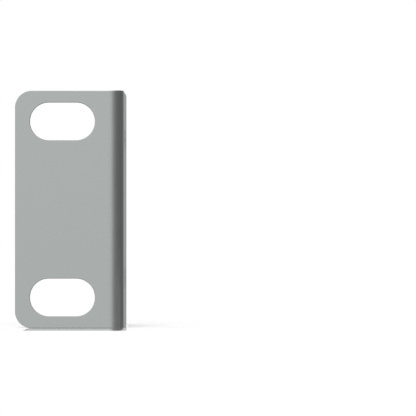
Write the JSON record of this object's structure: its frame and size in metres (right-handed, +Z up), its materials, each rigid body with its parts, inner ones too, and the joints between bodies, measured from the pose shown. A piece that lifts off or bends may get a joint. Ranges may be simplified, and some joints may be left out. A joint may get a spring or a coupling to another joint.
{
  "type": "rack mount ear bracket",
  "caption": "Folded steel ear bracket for 19-inch racks: obround slots in its ear take the rail screws, and countersunk holes in its side flange take the equipment's screws.",
  "frame": {"origin": "midway between the rack slots, on the rear face of the ear, which seats on the rack rail", "axes": "+X across the ear towards the equipment, +Y back into the rack along the side flange, +Z up along the height; the front of the ear faces -Y"},
  "size_m": [0.0196, 0.032, 0.043],
  "materials": {
    "plated_steel": "satin plated steel, light grey, with fine rolling grain"
  },
  "bodies": {
    "root": {"bracket": "plated_steel"}
  },
  "joints": []
}
